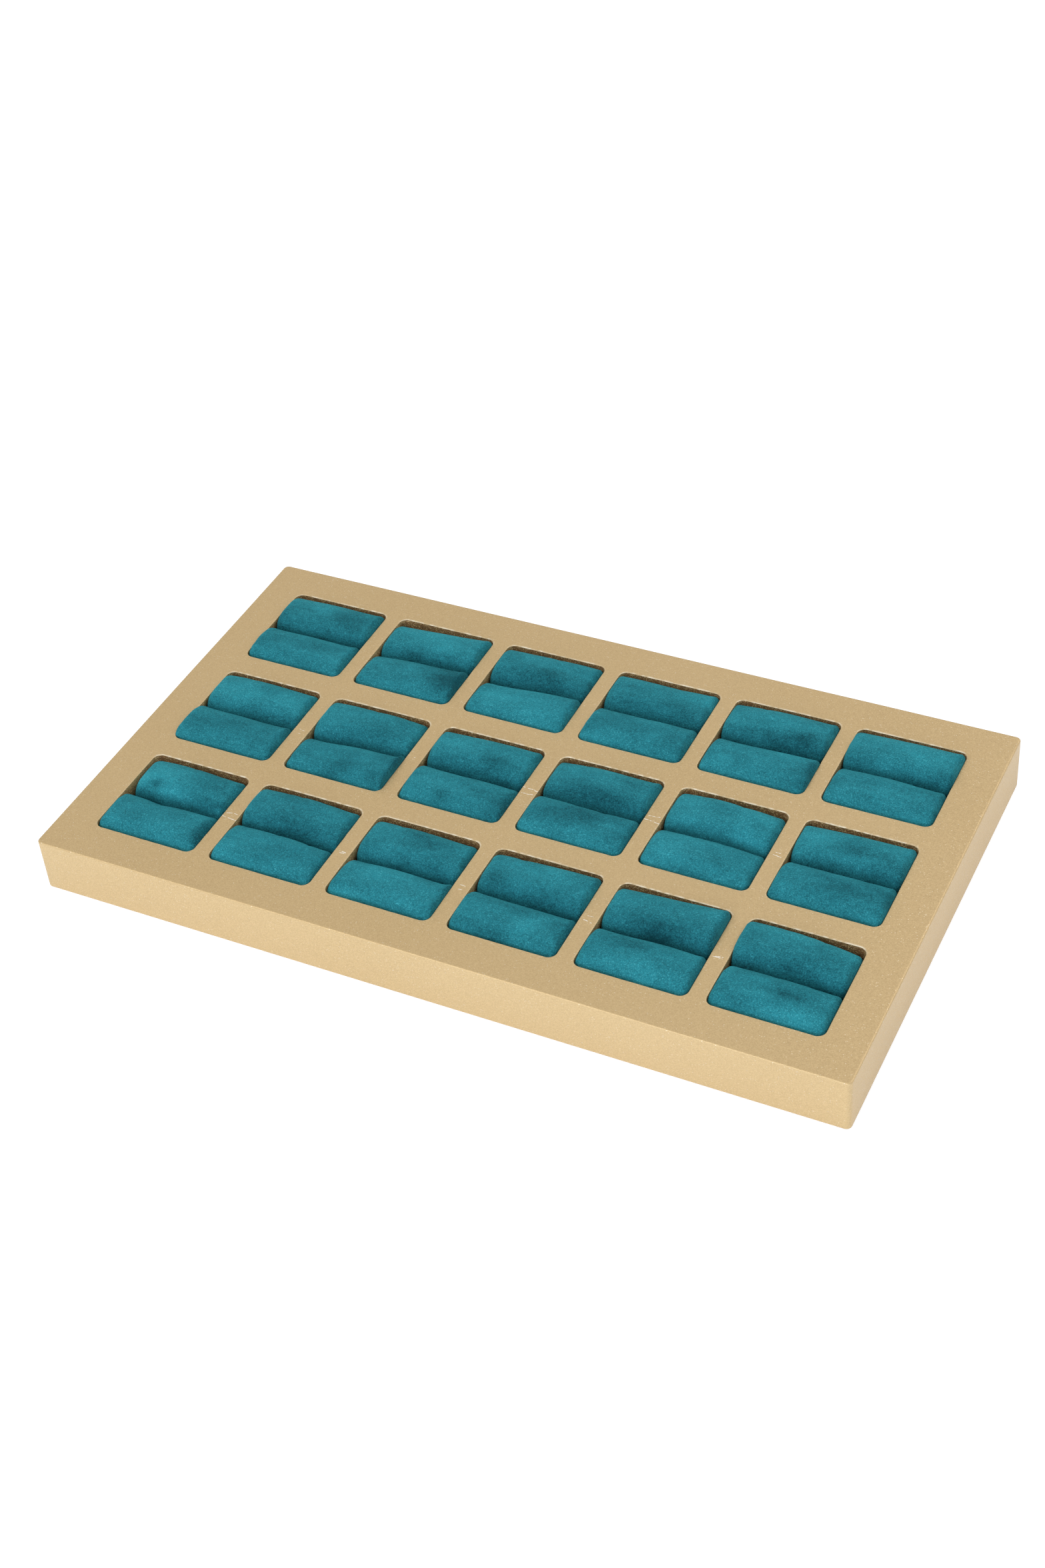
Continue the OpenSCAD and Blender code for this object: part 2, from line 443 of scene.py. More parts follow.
def join_rings(mesh, lower, upper, material, outward=True):
    """Quads between two rings, facing outward or into the outline."""
    count = len(lower)
    for i in range(count):
        j = (i + 1) % count
        corners = [lower[i], lower[j], upper[j], upper[i]]
        if not outward:
            corners.reverse()
        mesh.faces.new(corners).material_index = material


def fill_between(mesh, rings, z_normal, material):
    """Fills the flat area between one outer ring and the rings of its holes."""
    edges = set()
    for ring in rings:
        for i, vert in enumerate(ring):
            edges.add(mesh.edges.get((vert, ring[(i + 1) % len(ring)])))
    made = bmesh.ops.triangle_fill(mesh, edges=list(edges), use_beauty=True, normal=(0, 0, z_normal))
    faces = [f for f in made["geom"] if isinstance(f, bmesh.types.BMFace)]
    for face in faces:
        face.material_index = material
        face.normal_update()
        if face.normal.z * z_normal < 0:
            face.normal_flip()


def eased_edge(radius, steps):
    """The quarter circle that eases an edge, as (inset from the wall, drop from the face) pairs going up."""
    turns = [i * math.pi / 2 / steps for i in range(steps + 1)]
    return [(radius * (1 - math.cos(t)), radius * (1 - math.sin(t))) for t in turns]


def window_corners(row, column):
    """The low and high corners of a cell's window, from the rolls that lie in it."""
    back_low, back_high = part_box(f"roll_back_r{row}c{column}")
    front_low, front_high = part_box(f"roll_front_r{row}c{column}")
    low = (back_low[0] - ROLL_GAP, front_low[1] - ROLL_GAP)
    high = (back_high[0] + ROLL_GAP, back_high[1] + ROLL_GAP)
    return low, high


def window_pitch():
    """How far one window is from the next, along X and along Y."""
    first, last = window_corners(1, 1)[0], window_corners(ROWS, COLUMNS)[0]
    return (last[0] - first[0]) / (COLUMNS - 1), (first[1] - last[1]) / (ROWS - 1)


def build_frame_panel(gold, wall, raw):
    GOLD, WALL, RAW = 0, 1, 2
    mesh = bmesh.new()
    mesh.verts.layers.float.new("edge")
    outer = Outline(FRAME_LOW, FRAME_HIGH, CORNER_RADIUS, 6 * MM)
    rebate_low = (FRAME_LOW.x + LIP, FRAME_LOW.y + LIP)
    rebate_high = (FRAME_HIGH.x - LIP, FRAME_HIGH.y - LIP)
    rebate = Outline(rebate_low, rebate_high, WINDOW_RADIUS, 20 * MM)

    # Outer walls, from the eased foot to the eased top edge
    foot = [(-inset, drop) for inset, drop in reversed(eased_edge(FOOT_EASE, 3))]
    rings = [outer.ring(mesh, -FOOT_EASE - SUPPORT, 0.0)]
    rings += [outer.ring(mesh, inset, z) for inset, z in foot]
    for z in np.linspace(FOOT_EASE + SUPPORT, TOP - TOP_EASE - SUPPORT, 5):
        rings.append(outer.ring(mesh, 0.0, z))
    ease = TOP_EASE + smooth_noise(3, len(outer.points), range(3, 22, 3), 0.05 * MM)
    for inset, drop in eased_edge(1.0, 4):
        rings.append(outer.ring(mesh, -inset * ease, TOP - drop * ease))
    rings.append(outer.ring(mesh, -TOP_EASE - 2 * SUPPORT, TOP))
    for lower, upper in zip(rings, rings[1:]):
        join_rings(mesh, lower, upper, GOLD)
    top_rings, outer_foot = [rings[-1]], rings[0]

    # Window walls, with a routed roughness that fades out at the painted top edge
    ceiling_rings = []
    for row, column in CELLS:
        low, high = window_corners(row, column)
        window = Outline(low, high, WINDOW_RADIUS, 1.6 * MM)
        count = len(window.points)
        seed = 100 * row + column
        ease = WINDOW_EASE + smooth_noise(seed, count, range(4, 40, 5), 0.04 * MM)
        rings = [window.ring(mesh, TOP_EASE + SUPPORT, TOP)]
        for inset, drop in reversed(eased_edge(1.0, 4)):
            rings.append(window.ring(mesh, inset * ease, TOP - drop * ease, 1.0))
        wall_start = len(rings) - 1
        depths = np.linspace(TOP - WINDOW_EASE - 1.2 * MM, BOARD_TOP, 8)
        for i, z in enumerate(depths):
            rough = np.random.default_rng(seed * 50 + i).normal(0, 0.05 * MM, count)
            wave = smooth_noise(seed * 70 + i, count, range(2, 30, 4), 0.04 * MM)
            rings.append(window.ring(mesh, np.abs(rough + wave), z))
        for i, (upper, lower) in enumerate(zip(rings, rings[1:])):
            join_rings(mesh, lower, upper, WALL if i >= wall_start else GOLD, outward=False)
        top_rings.append(rings[0])
        ceiling_rings.append(rings[-1])

    fill_between(mesh, top_rings, 1, GOLD)

    # The underside: the lip, the rebate wall and the ceiling that the base board is screwed to
    lip_ring = rebate.ring(mesh, 0.0, 0.0)
    rebate_ring = rebate.ring(mesh, 0.0, BOARD_TOP)
    join_rings(mesh, lip_ring, rebate_ring, RAW, outward=False)
    fill_between(mesh, [rebate_ring, *ceiling_rings], -1, RAW)
    for ring in (outer_foot, lip_ring):
        for i, vert in enumerate(ring):
            if not mesh.edges.get((vert, ring[(i + 1) % len(ring)])):
                mesh.edges.new((vert, ring[(i + 1) % len(ring)]))
    fill_between(mesh, [outer_foot, lip_ring], -1, RAW)

    data = bpy.data.meshes.new("frame_panel")
    mesh.to_mesh(data)
    mesh.free()
    data.polygons.foreach_set("use_smooth", [True] * len(data.polygons))
    data.set_sharp_from_angle(angle=math.radians(42))
    panel = make_object("frame_panel", data, [gold, wall, raw])
    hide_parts("tray_frame")
    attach(panel, "tray")
    return panel


# ---------------------------------------------------------------- the rolls

# How far the foam is inside the fabric, and how deep the seam under a roll is drawn in
COVER = 1.2
SEAM_DEPTH = 0.8

# A roll's mesh: points round it, rings along its straight part, rings of each rounded end, and the rings
# of each flat end as shares of its outline
AROUND = 56
ALONG = 26
END_STEPS = 4
CAP_RINGS = (0.80, 0.55, 0.30, 0.10)

# Radii of a roll's ends. A crisp right end has a sharp fold.
LEFT_RADIUS = 2.7
RIGHT_RADIUS = 2.0
CRISP_RADIUS = 0.8

# The section is a superellipse: 2 is an ellipse, and a higher power is fuller at its shoulders
ROUNDNESS = 3.2

# The gaps between two rolls and between a roll and a wall, and how far an end may hang over a rim.
# The overhang begins HANG_START above the frame and is full after a further HANG_RISE.
SEAM_GAP = 0.06
WALL_GAP = 0.12
OVERHANG = 1.2
HANG_START = 0.3
HANG_RISE = 0.8

# The simulation runs at a larger scale, and moves no point further than MAX_SWELL
SIM_SCALE = 10.0
SIM_FRAMES = 20
MAX_SWELL = 0.5

# The heights of the stuffing's unevenness and of the puckers at the ends
STUFFING = 0.10
PUCKER = 0.10

# How strongly the patches of the table below show, and how dark the painted shade at the right end is
NAP_STRENGTH = 0.75
END_SHADE = 0.6

# How each cell looks, where it differs from the plain one. Heights, gaps and depths are in millimetres.
# Places and radii are shares: along is -1 at the left and 1 at the right, across is -1 at the front of
# that roll and 1 at its back.
#   back, front   height of the roll's top above the frame at its left end, middle and right end
#   seam          shift of the line between the rolls at its left end, middle and right end, to the back
#   gap           extra gap between the back roll and the back wall at its left and right end
#   ends_back, ends_front   how far each end stops short of the window's side, negative to overhang
#   notch         how strongly the left ends round off towards the line between the rolls, from 1
#   crisp         the rolls whose right end is folded sharply
#   dents         (roll, along, across, depth, radius)
#   nap_and_shade_patches   (roll, along, across, strength, radius along, radius across); lighter or darker pile, and some painted shade
PLAIN_CELL = {
    "back": (1.6, 2.6, 1.6),
    "front": (1.6, 2.6, 1.6),
    "seam": (0.0, 0.0, 0.0),
    "gap": (0.4, 0.4),
    "ends_back": (-0.2, 0.3),
    "ends_front": (-0.2, 0.3),
    "notch": 1.5,
    "crisp": (),
    "dents": (),
    "nap_and_shade_patches": (),
}
CELL_LOOKS = {
    (1, 1): {
        "back": (2.0, 3.0, 2.4),
        "front": (2.2, 2.6, 2.4),
        "nap_and_shade_patches": (("back", 0.35, 0.1, -0.9, 0.45, 0.5), ("front", -0.1, 0.3, -0.3, 0.8, 0.5)),
    },
    (1, 2): {
        "back": (0.9, 2.2, 3.3),
        "front": (1.0, 2.4, 3.0),
        "seam": (-0.5, 0.0, 0.6),
        "gap": (1.6, 0.0),
        "nap_and_shade_patches": (("front", 0.75, -0.1, -0.9, 0.35, 0.6), ("back", 0.0, 0.2, 0.4, 0.8, 0.5)),
    },
    (1, 3): {
        "back": (1.4, 3.1, 1.5),
        "front": (1.2, 2.4, 2.6),
        "seam": (-0.3, 0.0, 0.4),
        "nap_and_shade_patches": (("front", 0.0, 0.0, 0.5, 0.9, 0.7), ("back", 0.1, -0.4, -0.5, 0.7, 0.4)),
    },
    (1, 4): {
        "back": (1.3, 2.5, 1.6),
        "front": (2.0, 2.9, 2.2),
        "gap": (0.1, 0.0),
        "notch": 2.0,
        "nap_and_shade_patches": (("back", 0.2, -0.3, -0.6, 0.8, 0.5), ("front", 0.0, 0.4, -0.4, 0.9, 0.5)),
    },
    (1, 5): {
        "notch": 2.0,
        "back": (1.3, 3.2, 2.7),
        "front": (1.8, 2.4, 2.6),
        "ends_front": (0.2, -0.1),
        "nap_and_shade_patches": (("back", 0.2, -0.6, -0.9, 0.7, 0.35), ("front", 0.9, 0.0, -0.9, 0.15, 0.7)),
    },
    (1, 6): {
        "back": (1.9, 3.8, 3.5),
        "front": (1.4, 2.9, 1.4),
        "ends_back": (-0.3, 0.1),
        "nap_and_shade_patches": (("back", 0.0, 0.2, 0.6, 0.9, 0.7), ("front", 0.0, 0.0, 0.4, 0.9, 0.7)),
    },
    (2, 1): {
        "back": (2.0, 3.2, 1.8),
        "front": (3.2, 3.0, 2.6),
        "ends_front": (-0.2, 0.3),
        "notch": 2.0,
        "nap_and_shade_patches": (("front", 0.0, 0.2, -0.5, 0.9, 0.6), ("back", 0.0, -0.2, 0.3, 0.9, 0.5)),
    },
    (2, 2): {
        "back": (1.6, 3.6, 1.0),
        "front": (0.9, 2.2, 3.3),
        "seam": (-0.5, -0.1, 0.7),
        "crisp": ("front",),
        "nap_and_shade_patches": (("front", 0.1, -0.2, -0.8, 0.3, 0.5), ("back", -0.1, 0.0, -0.3, 0.8, 0.5)),
    },
    (2, 3): {
        "back": (1.5, 3.4, 2.2),
        "front": (1.4, 2.8, 2.0),
        "ends_front": (-0.1, 0.1),
        "notch": 2.6,
        "nap_and_shade_patches": (
            ("back", 0.3, -0.3, -0.8, 0.4, 0.4),
            ("back", -0.3, 0.2, 0.5, 0.5, 0.5),
            ("front", 0.9, -0.3, -0.8, 0.2, 0.6),
        ),
    },
    (2, 4): {
        "back": (1.0, 3.4, 2.9),
        "front": (1.8, 3.2, 1.6),
        "notch": 1.9,
        "nap_and_shade_patches": (("front", 0.0, 0.2, -0.7, 0.9, 0.6), ("back", 0.1, -0.6, -0.6, 0.8, 0.3)),
    },
    (2, 5): {
        "back": (0.9, 3.6, 1.9),
        "front": (1.2, 3.0, 0.8),
        "gap": (0.2, 1.8),
        "nap_and_shade_patches": (("front", -0.2, 0.0, 0.5, 0.9, 0.7), ("back", 0.0, 0.5, 0.5, 0.9, 0.4)),
    },
    (2, 6): {
        "notch": 2.2,
        "back": (1.0, 3.0, 2.4),
        "front": (1.8, 3.1, 2.2),
        "nap_and_shade_patches": (
            ("back", 0.1, -0.1, -0.8, 0.4, 0.25),
            ("front", 0.2, 0.1, -0.6, 0.7, 0.5),
            ("back", -0.6, 0.3, 0.5, 0.4, 0.5),
        ),
    },
    (3, 1): {
        "back": (1.0, 3.4, 1.9),
        "ends_back": (1.3, 0.3),
        "gap": (0.6, 1.4),
        "dents": (
            ("back", -0.5, -0.5, 1.1, 0.11),
            ("back", -0.3, -0.9, 1.2, 0.20),
            ("front", -0.2, 0.8, 0.8, 0.25),
        ),
        # The two darkest back-roll patches lie on the two dents, as painted shade in them.
        "nap_and_shade_patches": (
            ("back", -0.5, -0.45, -1.6, 0.12, 0.17),
            ("back", -0.45, -0.9, -0.7, 0.30, 0.15),
            ("back", -0.85, -0.5, 1.1, 0.14, 0.3),
            ("back", -0.1, -0.7, 1.3, 0.35, 0.2),
            ("front", 0.0, -0.3, 0.4, 0.5, 0.4),
            ("front", 0.9, 0.0, -1.0, 0.12, 0.8),
        ),
    },
    (3, 2): {
        "back": (1.9, 3.4, 1.6),
        "front": (1.6, 2.9, 1.0),
        "seam": (0.0, 0.2, -0.4),
        "nap_and_shade_patches": (("back", 0.3, -0.5, -0.6, 0.6, 0.3), ("front", 0.0, 0.0, -0.2, 0.8, 0.5)),
    },
    (3, 3): {
        "back": (1.2, 2.9, 1.8),
        "front": (1.2, 2.2, 2.2),
        "gap": (0.1, 1.0),
        "crisp": ("front",),
        "nap_and_shade_patches": (("back", 0.2, 0.0, -0.9, 0.6, 0.5), ("front", 0.0, 0.2, 0.6, 0.9, 0.5)),
    },
    (3, 4): {
        "back": (1.1, 3.3, 3.0),
        "front": (2.0, 2.4, 1.8),
        "nap_and_shade_patches": (("back", -0.7, -0.4, -0.9, 0.25, 0.4), ("front", 0.0, -0.8, -0.6, 0.9, 0.3)),
    },
    (3, 5): {
        "back": (1.6, 3.6, 4.3),
        "front": (1.4, 2.7, 2.2),
        "gap": (0.7, 0.0),
        "nap_and_shade_patches": (("front", -0.1, 0.25, -0.8, 0.5, 0.25), ("back", 0.2, -0.6, -0.6, 0.8, 0.3)),
    },
    (3, 6): {
        "back": (2.7, 4.5, 1.5),
        "front": (1.6, 3.1, 1.2),
        "gap": (0.0, 2.0),
        "ends_back": (-0.5, 0.3),
        "nap_and_shade_patches": (("front", 0.05, 0.05, -1.3, 0.42, 0.16), ("back", 0.5, -0.4, -0.5, 0.3, 0.3)),
    },
}


def through(three, at):
    """A smooth value at -1 to 1 that passes through its left, middle and right values."""
    left, middle, right = three
    return middle + (right - left) / 2 * at + ((left + right) / 2 - middle) * at**2


class Roll:
    """One roll of a cell as a grid of rings from its left end to its right end, in millimetres."""

    def __init__(self, side, row, column):
        self.side, self.row, self.column = side, row, column
        self.name = f"velvet_roll_{side}_r{row}c{column}"
        self.node = f"roll_{side}_r{row}c{column}"
        self.look = {**PLAIN_CELL, **CELL_LOOKS.get((row, column), {})}
        self.random = np.random.default_rng(1000 * row + 10 * column + (side == "back"))
        low, high = window_corners(row, column)
        self.left, self.right = low[0] / MM, high[0] / MM
        self.near, self.far = low[1] / MM, high[1] / MM
        self.middle_x = (self.left + self.right) / 2
        self.half_window = (self.right - self.left) / 2
        self.floor = BOARD_TOP / MM
        self.frame_top = TOP / MM

    def limits(self, x):
        """How far the roll may reach along Y at each x: from its nearer side to its further side."""
        at = (x - self.middle_x) / self.half_window
        seam = (self.near + self.far) / 2 + through(self.look["seam"], at)
        if self.side == "front":
            return self.near + WALL_GAP, seam - SEAM_GAP
        gap_left, gap_right = self.look["gap"]
        gap = gap_left + (gap_right - gap_left) * (at + 1) / 2
        return seam + SEAM_GAP, self.far - WALL_GAP - np.maximum(gap, 0)

    def top(self, x):
        at = (x - self.middle_x) / self.half_window
        return self.frame_top + through(self.look[self.side], at)

    def rings(self):
        """Each ring as its x and how much it is drawn in from the full section."""
        short_left, short_right = self.look[f"ends_{self.side}"]
        first, last = self.left + short_left, self.right - short_right
        radius = CRISP_RADIUS if self.side in self.look["crisp"] else RIGHT_RADIUS
        quarter = [(i + 1) * math.pi / 2 / END_STEPS for i in range(END_STEPS)]
        rounding = [(math.sin(turn), 1 - math.cos(turn)) for turn in quarter]
        made = [(first + LEFT_RADIUS * (1 - out), LEFT_RADIUS * inset) for out, inset in reversed(rounding)]
        made += [(x, 0.0) for x in np.linspace(first + LEFT_RADIUS, last - radius, ALONG)]
        made += [(last - radius * (1 - out), radius * inset) for out, inset in rounding]
        return made

    def base_shape(self):
        """The points before the fabric is blown up, as an array with a ring in each row.

        The seam is the lowest point of each ring, drawn in, and the ends have radial pleats.
        """
        turn = np.linspace(0, 2 * math.pi, AROUND, endpoint=False)
        across = np.sign(np.cos(turn)) * np.abs(np.cos(turn)) ** (2 / ROUNDNESS)
        up = np.sign(np.sin(turn)) * np.abs(np.sin(turn)) ** (2 / ROUNDNESS)
        rings = []
        for x, inset in self.rings():
            low, high = self.limits(x)
            top = self.top(x)
            notch = self.look["notch"] if x < self.middle_x else 1.0
            at_seam, at_wall = inset * notch, inset * max(2 - notch, 0.0)
            at_low, at_high = (at_seam, at_wall) if self.side == "back" else (at_wall, at_seam)
            low, high = low + at_low, high - at_high
            half_z = (top - self.floor) / 2 - inset
            y = (low + high) / 2 + (high - low) / 2 * across
            z = (top + self.floor) / 2 + half_z * up
            z[AROUND * 3 // 4] += SEAM_DEPTH
            rings.append(np.column_stack([np.full(AROUND, x), y, z]))
        caps = []
        for ring, outward in ((rings[0], -1), (rings[-1], 1)):
            centre = ring.mean(axis=0)
            pleats = 9 + self.random.integers(0, 4)
            phase = self.random.uniform(0, 2 * math.pi)
            discs = []
            for share in CAP_RINGS:
                disc = centre + (ring - centre) * share
                bulge = share * (1 - share)
                sunk_middle = 0.5 * (1 - share) ** 3
                disc[:, 0] += outward * (bulge * (1 + 0.35 * np.cos(pleats * turn + phase)) - sunk_middle)
                discs.append(disc)
            caps.append(discs)
        return np.array([*reversed(caps[0]), *rings, *caps[1]])

    def faces(self, ring_count):
        quads = []
        for i in range(ring_count - 1):
            for j in range(AROUND):
                k = (j + 1) % AROUND
                quads.append((i * AROUND + j, i * AROUND + k, (i + 1) * AROUND + k, (i + 1) * AROUND + j))
        last = (ring_count - 1) * AROUND
        quads.append(tuple(reversed(range(AROUND))))
        quads.append(tuple(last + j for j in range(AROUND)))
        return quads

    def build(self, velvet):
        self.base = self.base_shape()
        self.shape = self.base.shape
        data = bpy.data.meshes.new(self.name)
        points = (self.base.reshape(-1, 3) - self.origin()) * MM * SIM_SCALE
        data.from_pydata(points.tolist(), [], self.faces(self.shape[0]))
        data.validate()
        data.polygons.foreach_set("use_smooth", [True] * len(data.polygons))
        self.piece = make_object(self.name, data, [velvet])

    def origin(self):
        return np.array([self.middle_x, (self.near + self.far) / 2, self.floor])

    def add_cloth(self):
        cloth = self.piece.modifiers.new("puff", "CLOTH")
        settings = cloth.settings
        settings.quality = 6
        settings.use_pressure = True
        settings.uniform_pressure_force = 4.0
        settings.tension_stiffness = 12.0
        settings.compression_stiffness = 6.0
        settings.bending_stiffness = 0.3
        settings.shrink_min = -0.02
        settings.effector_weights.gravity = 0.0
        cloth.collision_settings.use_collision = False
        cloth.point_cache.frame_start = 1
        cloth.point_cache.frame_end = SIM_FRAMES

    def read_puffed(self, depsgraph):
        """The blown-up points, with no point further than MAX_SWELL from where it began."""
        puffed = self.piece.evaluated_get(depsgraph).data
        points = np.empty(len(puffed.vertices) * 3)
        puffed.vertices.foreach_get("co", points)
        points = points.reshape(-1, 3) / MM / SIM_SCALE + self.origin()
        moved = points - self.base.reshape(-1, 3)
        length = np.linalg.norm(moved, axis=1, keepdims=True)
        moved *= np.minimum(1.0, MAX_SWELL / np.maximum(length, 1e-9))
        self.puffed = self.fitted((self.base.reshape(-1, 3) + moved).reshape(self.shape)).reshape(-1, 3)

    def fitted(self, rings):
        """Brings the blown-up fabric back to its own length, and each ring to its own width and height.

        The length is taken at the rims of the two ends, so that the ends themselves bulge past it.
        """
        for axis in (1, 2):
            was_low = rings[:, :, axis].min(axis=1, keepdims=True)
            was_high = rings[:, :, axis].max(axis=1, keepdims=True)
            low = self.base[:, :, axis].min(axis=1, keepdims=True)
            high = self.base[:, :, axis].max(axis=1, keepdims=True)
            rings[:, :, axis] = low + (rings[:, :, axis] - was_low) * (high - low) / (was_high - was_low)
        rims = [len(CAP_RINGS), -len(CAP_RINGS) - 1]
        was_left, was_right = (rings[rim, :, 0].mean() for rim in rims)
        left, right = (self.base[rim, :, 0].mean() for rim in rims)
        rings[:, :, 0] = left + (rings[:, :, 0] - was_left) * (right - left) / (was_right - was_left)
        return rings

    def finish(self, points):
        """Presses the dents, keeps the roll inside its space, and writes the mesh and its nap, which carries
        painted shade and light.
        """
        along, across = self.surface_place(points)
        points = self.wander(points, along, across)
        for roll, at_along, at_across, depth, radius in self.look["dents"]:
            if roll == self.side:
                away = ((along - at_along) / radius) ** 2 + ((across - at_across) / (2 * radius)) ** 2
                points[:, 2] -= depth * np.exp(-away)
        self.points = points = self.kept_inside(points)
        data = self.piece.data
        data.vertices.foreach_set("co", (points * MM).ravel())
        nap_and_painted_light = data.attributes.new("nap_and_painted_light", "FLOAT", "POINT")
        nap_and_painted_light.data.foreach_set("value", self.nap_and_painted_light(along, across))
        data.update()
        subdivide = self.piece.modifiers.new("smooth", "SUBSURF")
        subdivide.levels = subdivide.render_levels = 1
        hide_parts(self.node)
        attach(self.piece, f"insert_r{self.row}c{self.column}")

    def foam(self):
        """The foam rod inside the finished fabric: the same rings, drawn in all round and at both ends."""
        rings = self.points.reshape(self.shape)
        centres = rings.mean(axis=1, keepdims=True)
        half = np.abs(rings[self.shape[0] // 2] - centres[self.shape[0] // 2]).max(axis=0)
        rod = centres + (rings - centres) * (1 - COVER / np.maximum(half, 1))
        rod[:, :, 0] = self.middle_x + (rings[:, :, 0] - self.middle_x) * (1 - COVER / self.half_window)
        return rod.reshape(-1, 3)

    def surface_place(self, points):
        """Where each point is along the roll and across it, both from -1 to 1."""
        low, high = self.limits(points[:, 0])
        along = (points[:, 0] - self.middle_x) / self.half_window
        across = (points[:, 1] - (low + high) / 2) / ((high - low) / 2)
        return along, across

    def wander(self, points, along, across):
        """Soft unevenness in the stuffing, and small puckers where the fabric is gathered at the ends."""
        height = np.zeros(len(points))
        for _ in range(5):
            wave_along, wave_across = self.random.uniform(1.0, 4.5), self.random.uniform(0.5, 3.0)
            phase = self.random.uniform(0, 2 * math.pi)
            height += self.random.normal() * np.sin(wave_along * along + wave_across * across + phase)
        puckers = np.zeros(len(points))
        for _ in range(3):
            count, phase = self.random.uniform(9, 17), self.random.uniform(0, 2 * math.pi)
            puckers += np.sin(count * across + phase)
        near_end = np.clip((np.abs(along) - 0.72) / 0.28, 0, 1) ** 1.5
        points = points.copy()
        points[:, 2] += STUFFING * height + PUCKER * near_end * puckers
        return points

    def kept_inside(self, points):
        """Holds every point off the walls below the frame's top, off the other roll, and on the board."""
        low, high = self.limits(points[:, 0])
        points[:, 1] = soft_clip(points[:, 1], low, high)
        hang = OVERHANG * np.clip((points[:, 2] - self.frame_top - HANG_START) / HANG_RISE, 0, 1)
        points[:, 0] = soft_clip(points[:, 0], self.left + WALL_GAP - hang, self.right - WALL_GAP + hang)
        points[:, 2] = np.maximum(points[:, 2], self.floor + 0.02)
        return points

    def nap_and_painted_light(self, along, across):
        """How the pile lies, with painted shade down the back roll's side of the groove and at the right
        ends, and painted light on the front of the front roll.

        The patches of the cell's look and a few random ones are added to that.
        """
        # Painted shade down the back roll's side of the groove; painted light on the front of the front roll.
        down = np.clip(-across - 0.1, 0, 1)
        value = -0.7 * down**1.5 if self.side == "back" else 0.2 * down - 0.15
        for roll, at_along, at_across, strength, radius_along, radius_across in self.look["nap_and_shade_patches"]:
            if roll == self.side:
                away = ((along - at_along) / radius_along) ** 2 + ((across - at_across) / radius_across) ** 2
                value += NAP_STRENGTH * strength * np.exp(-away)
        for _ in range(9):
            at_along, at_across = self.random.uniform(-1, 1, 2)
            radius = self.random.uniform(0.12, 0.4)
            away = ((along - at_along) / radius) ** 2 + ((across - at_across) / (1.6 * radius)) ** 2
            value += self.random.normal() * 0.2 * np.exp(-away)
        # Painted shade at the right end, where the roll rounds away from the light.
        right_end_shade = np.clip((along - 0.88) / 0.12, 0, 1)
        return np.clip(value - END_SHADE * right_end_shade, -1.2, 1.2)


def soft_clip(values, low, high, margin=0.12):
    """Presses values into low to high, easing off over the last margin so that no crease shows."""
    over = values - (high - margin)
    values = np.where(over > 0, high - margin * np.exp(-np.maximum(over, 0) / margin), values)
    under = (low + margin) - values
    return np.where(under > 0, low + margin * np.exp(-np.maximum(under, 0) / margin), values)


def build_rolls(velvet):
    """All the rolls. Their fabric is blown up in one run of the cloth simulation."""
    rolls = [Roll(side, row, column) for row, column in CELLS for side in ("back", "front")]
    for roll in rolls:
        roll.build(velvet)
    scene = bpy.context.scene
    for roll in rolls:
        roll.add_cloth()
    for number in range(1, SIM_FRAMES + 1):
        scene.frame_set(number)
    depsgraph = bpy.context.evaluated_depsgraph_get()
    for roll in rolls:
        roll.read_puffed(depsgraph)
    for roll in rolls:
        roll.piece.modifiers.clear()
    scene.frame_set(1)
    for roll in rolls:
        roll.finish(roll.puffed)
    return rolls


def build_foam_rods(rolls, foam):
    """The two foam rods of each cell, which replace the plain CAD solids inside the sleeves."""
    for row, column in CELLS:
        pair = [roll for roll in rolls if (roll.row, roll.column) == (row, column)]
        points, faces = [], []
        for roll in pair:
            first = len(points)
            points += (roll.foam() * MM).tolist()
            faces += [[first + corner for corner in face] for face in roll.faces(roll.shape[0])]
        data = bpy.data.meshes.new(f"foam_rods_r{row}c{column}")
        data.from_pydata(points, [], faces)
        data.polygons.foreach_set("use_smooth", [True] * len(data.polygons))
        rods = make_object(data.name, data, [foam])
        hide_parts(f"foam_cores_r{row}c{column}")
        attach(rods, f"insert_r{row}c{column}")


# ---------------------------------------------------------------- stage, lights and camera


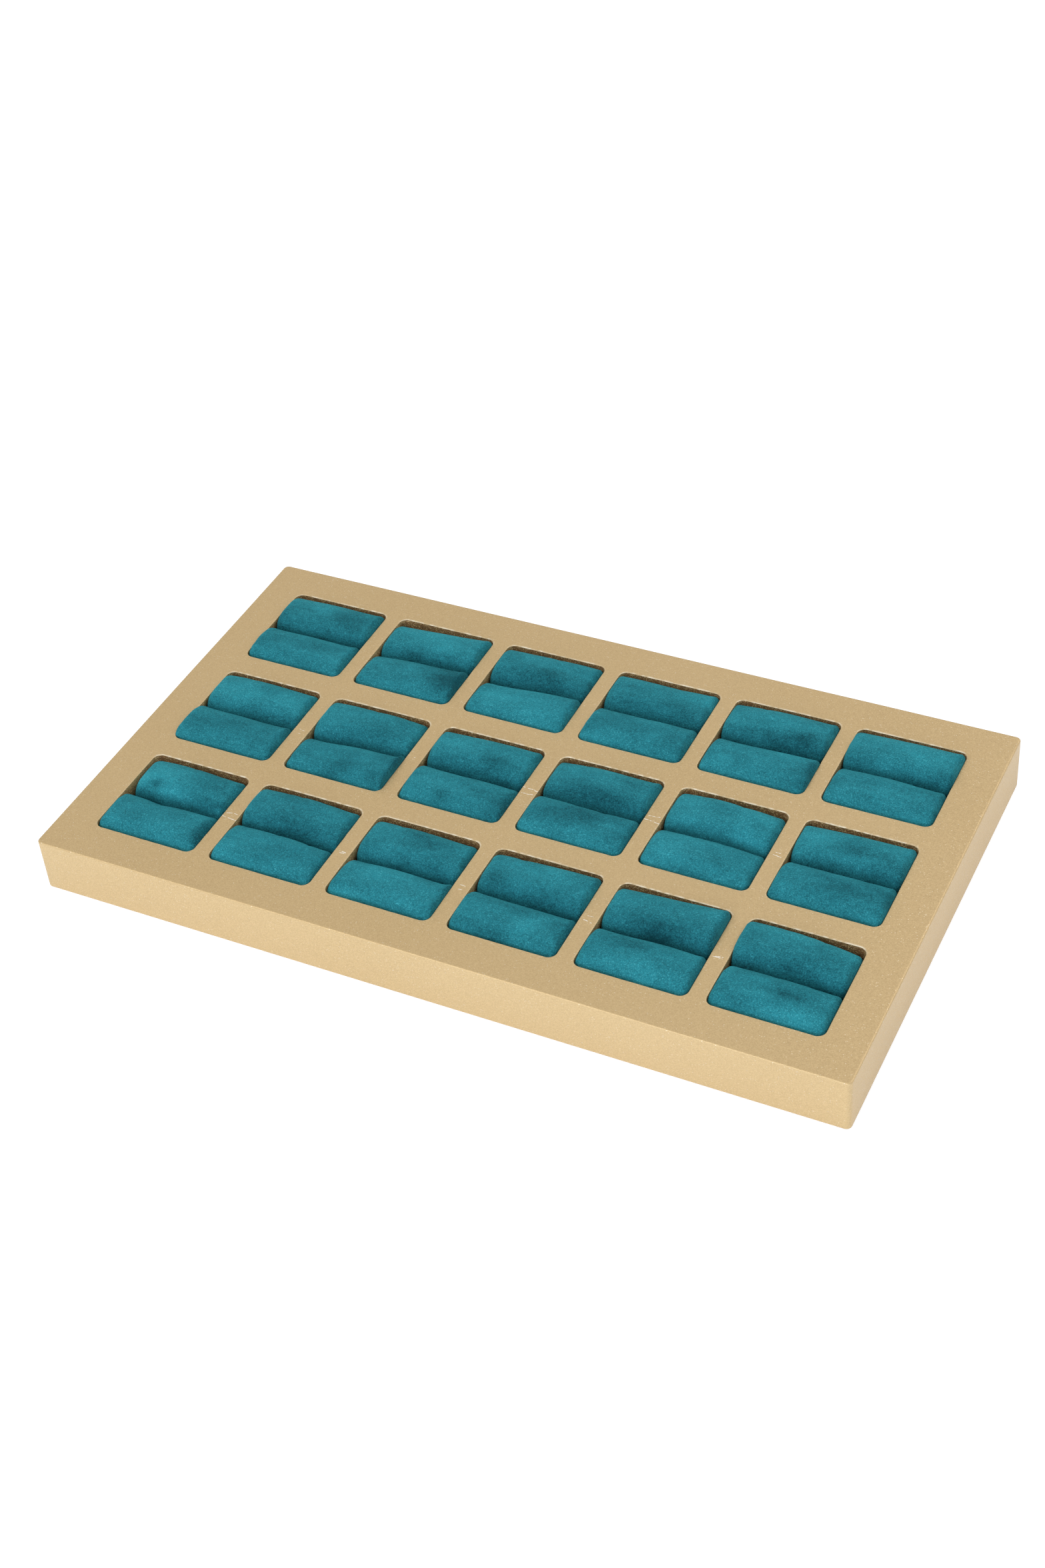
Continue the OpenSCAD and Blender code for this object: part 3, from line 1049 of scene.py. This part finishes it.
def add_floor():
    reach, level = 6.0, -0.1 * MM
    data = bpy.data.meshes.new("floor")
    corners = [(x * reach, y * reach, level) for x, y in ((-1, -1), (1, -1), (1, 1), (-1, 1))]
    data.from_pydata(corners, [], [(0, 1, 2, 3)])
    make_object("floor", data, [floor_white()])


def add_softbox(name, place, width, height, power, colour=(1, 1, 1)):
    """A rectangular light that looks at the middle of the tray."""
    light = bpy.data.lights.new(name, "AREA")
    light.shape = "RECTANGLE"
    light.size, light.size_y = width, height
    light.energy = power
    light.color = colour
    lamp = bpy.data.objects.new(name, light)
    lamp.location = place
    lamp.rotation_euler = (-Vector(place)).to_track_quat("-Z", "Y").to_euler()
    bpy.context.scene.collection.objects.link(lamp)


def add_lights():
    world = bpy.data.worlds.new("studio")
    world.use_nodes = True
    background = world.node_tree.nodes["Background"]
    background.inputs["Color"].default_value = (1.0, 1.0, 1.0, 1.0)
    background.inputs["Strength"].default_value = 0.6
    bpy.context.scene.world = world
    add_softbox("key_softbox", (-0.7, -1.25, 1.35), 0.8, 0.6, 11)
    add_softbox("front_softbox", (0.2, -1.5, 0.6), 1.2, 0.7, 10.2, (0.84, 0.96, 1.14))
    add_softbox("back_softbox", (0.7, 0.9, 1.3), 1.2, 0.8, 9)


def add_camera():
    camera = bpy.data.objects.new("camera", bpy.data.cameras.new("camera"))
    camera.data.lens = CAMERA_LENS
    camera.data.clip_start = 0.01
    look = (CAMERA_AIM - CAMERA_PLACE).to_track_quat("-Z", "Y").to_matrix().to_4x4()
    camera.matrix_world = Matrix.Translation(CAMERA_PLACE) @ look @ Matrix.Rotation(CAMERA_ROLL, 4, "Z")
    bpy.context.scene.collection.objects.link(camera)
    bpy.context.scene.camera = camera


def dress_cad_node(node, material):
    """Gives a CAD node whose shape stays a better material."""
    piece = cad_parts[node]
    piece.data.materials.clear()
    piece.data.materials.append(material)


add_camera()
add_floor()
add_lights()
bpy.context.scene.view_settings.view_transform = "Standard"

build_frame_panel(gold_paint(), routed_wall(), raw_board())
rolls = build_rolls(teal_velvet())
build_foam_rods(rolls, grey_foam())
dress_cad_node("base_board", hardboard())
dress_cad_node("underside_felt", black_felt())
dress_cad_node("base_screws", zinc_screw())
